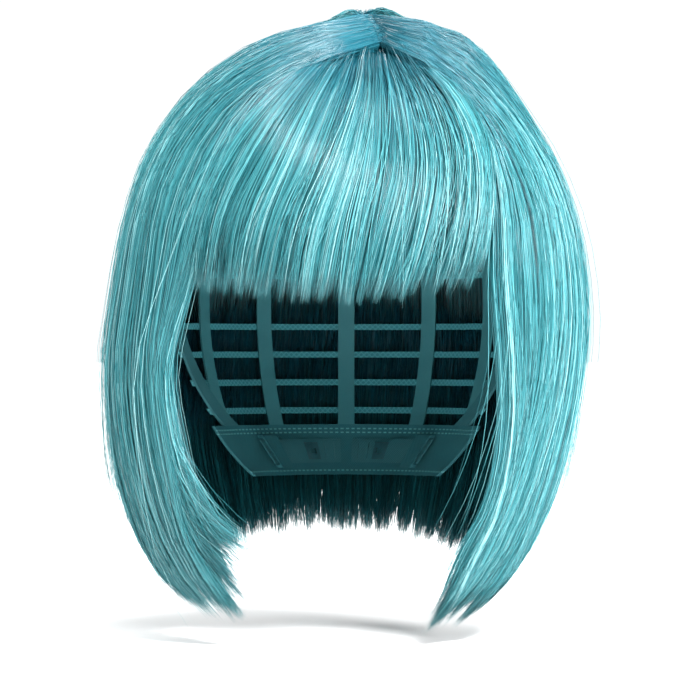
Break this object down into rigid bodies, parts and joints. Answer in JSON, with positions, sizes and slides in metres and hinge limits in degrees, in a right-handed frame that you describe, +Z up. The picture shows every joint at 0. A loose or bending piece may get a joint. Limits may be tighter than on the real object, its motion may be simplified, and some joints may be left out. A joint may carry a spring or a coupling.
{
  "type": "costume wig",
  "caption": "Short straight bob wig with a full fringe, sewn in wefts on an open stretch cap with ear tabs and nape adjusters.",
  "frame": {"origin": "middle of the head that wears the wig, at brow height, where the cap's lower rim crosses above the ears", "axes": "+Z up to the crown, the wearer looks along -Y, +X is the wearer's left"},
  "size_m": [0.1992, 0.227, 0.2522],
  "materials": {
    "hair_fibre": "shiny straight synthetic fibre",
    "lining_cloth": "soft stretch lining",
    "cap_net": "open net",
    "scalp_patch": "coated cloth",
    "stretch_lace": "stretch lace",
    "elastic_tape": "ribbed elastic",
    "ribbon": "woven ribbon",
    "weft_tape": "stitched track",
    "stay_steel": "coated spring strip",
    "hook_plastic": "moulded hook"
  },
  "bodies": {
    "cap": {"back_rib_1": "ribbon", "back_rib_2": "ribbon", "back_rib_3": "ribbon", "back_rib_4": "ribbon", "back_rib_5": "ribbon", "back_track_1": "weft_tape", "back_track_2": "weft_tape", "back_track_3": "weft_tape", "back_track_4": "weft_tape", "back_track_5": "weft_tape", "back_track_6": "weft_tape", "back_track_7": "weft_tape", "back_track_8": "weft_tape", "crown_net": "cap_net", "crown_tape": "elastic_tape", "crown_track_1": "weft_tape", "crown_track_2": "weft_tape", "crown_track_3": "weft_tape", "crown_track_4": "weft_tape", "fringe_track_1": "weft_tape", "fringe_track_2": "weft_tape", "front_band": "lining_cloth", "hair_back_upper": "hair_fibre", "hair_crown": "hair_fibre", "hair_side_upper_left": "hair_fibre", "hair_side_upper_right": "hair_fibre", "loop_tape_left": "elastic_tape", "loop_tape_right": "elastic_tape", "nape_band": "lining_cloth", "rear_binding_left": "elastic_tape", "rear_binding_right": "elastic_tape", "side_lace_left": "stretch_lace", "side_lace_right": "stretch_lace", "skin_top": "scalp_patch", "strap_sleeve_left": "lining_cloth", "strap_sleeve_right": "lining_cloth"},
    "fringe": {"hair_fringe": "hair_fibre"},
    "side_hair_left": {"hair_side_left": "hair_fibre"},
    "side_hair_right": {"hair_side_right": "hair_fibre"},
    "back_hair": {"hair_back": "hair_fibre"},
    "tab_left": {"ear_tab_left": "lining_cloth", "ear_stay_left": "stay_steel"},
    "tab_right": {"ear_tab_right": "lining_cloth", "ear_stay_right": "stay_steel"},
    "adjuster_left": {"strap_left": "elastic_tape", "hook_left": "hook_plastic"},
    "adjuster_right": {"strap_right": "elastic_tape", "hook_right": "hook_plastic"}
  },
  "joints": [
    {"name": "fringe_lift", "type": "hinge", "parent": "cap", "child": "fringe", "pos_m": [0, -0.06, 0.078], "axis": [-1, 0, 0], "range_deg": [0, 35], "stiffness_Nm_per_rad": 0.08, "springref_deg": -17.19},
    {"name": "side_hair_left_lift", "type": "hinge", "parent": "cap", "child": "side_hair_left", "pos_m": [0.0996, 0, 0], "axis": [0, -1, 0], "range_deg": [0, 30], "stiffness_Nm_per_rad": 0.12, "springref_deg": -20.05},
    {"name": "side_hair_right_lift", "type": "hinge", "parent": "cap", "child": "side_hair_right", "pos_m": [-0.0996, 0, 0], "axis": [0, 1, 0], "range_deg": [0, 30], "stiffness_Nm_per_rad": 0.12, "springref_deg": -20.05},
    {"name": "back_hair_lift", "type": "hinge", "parent": "cap", "child": "back_hair", "pos_m": [0, 0.1172, 0], "axis": [1, 0, 0], "range_deg": [0, 35], "stiffness_Nm_per_rad": 0.2, "springref_deg": -20.05},
    {"name": "ear_tab_left_flex", "type": "hinge", "parent": "cap", "child": "tab_left", "pos_m": [0.0739, -0.0185, -0.0037], "axis": [0.1668, 0.986, 0], "range_deg": [-4, 15], "stiffness_Nm_per_rad": 0.02},
    {"name": "ear_tab_right_flex", "type": "hinge", "parent": "cap", "child": "tab_right", "pos_m": [-0.0739, -0.0185, -0.0037], "axis": [0.1668, -0.986, 0], "range_deg": [-4, 15], "stiffness_Nm_per_rad": 0.02},
    {"name": "strap_left_adjust", "type": "hinge", "parent": "cap", "child": "adjuster_left", "pos_m": [0, 0.0258, -0.063], "axis": [0, 0, 1], "range_deg": [-11, 11]},
    {"name": "strap_right_adjust", "type": "hinge", "parent": "cap", "child": "adjuster_right", "pos_m": [0, 0.0258, -0.063], "axis": [0, 0, -1], "range_deg": [-11, 11]}
  ]
}
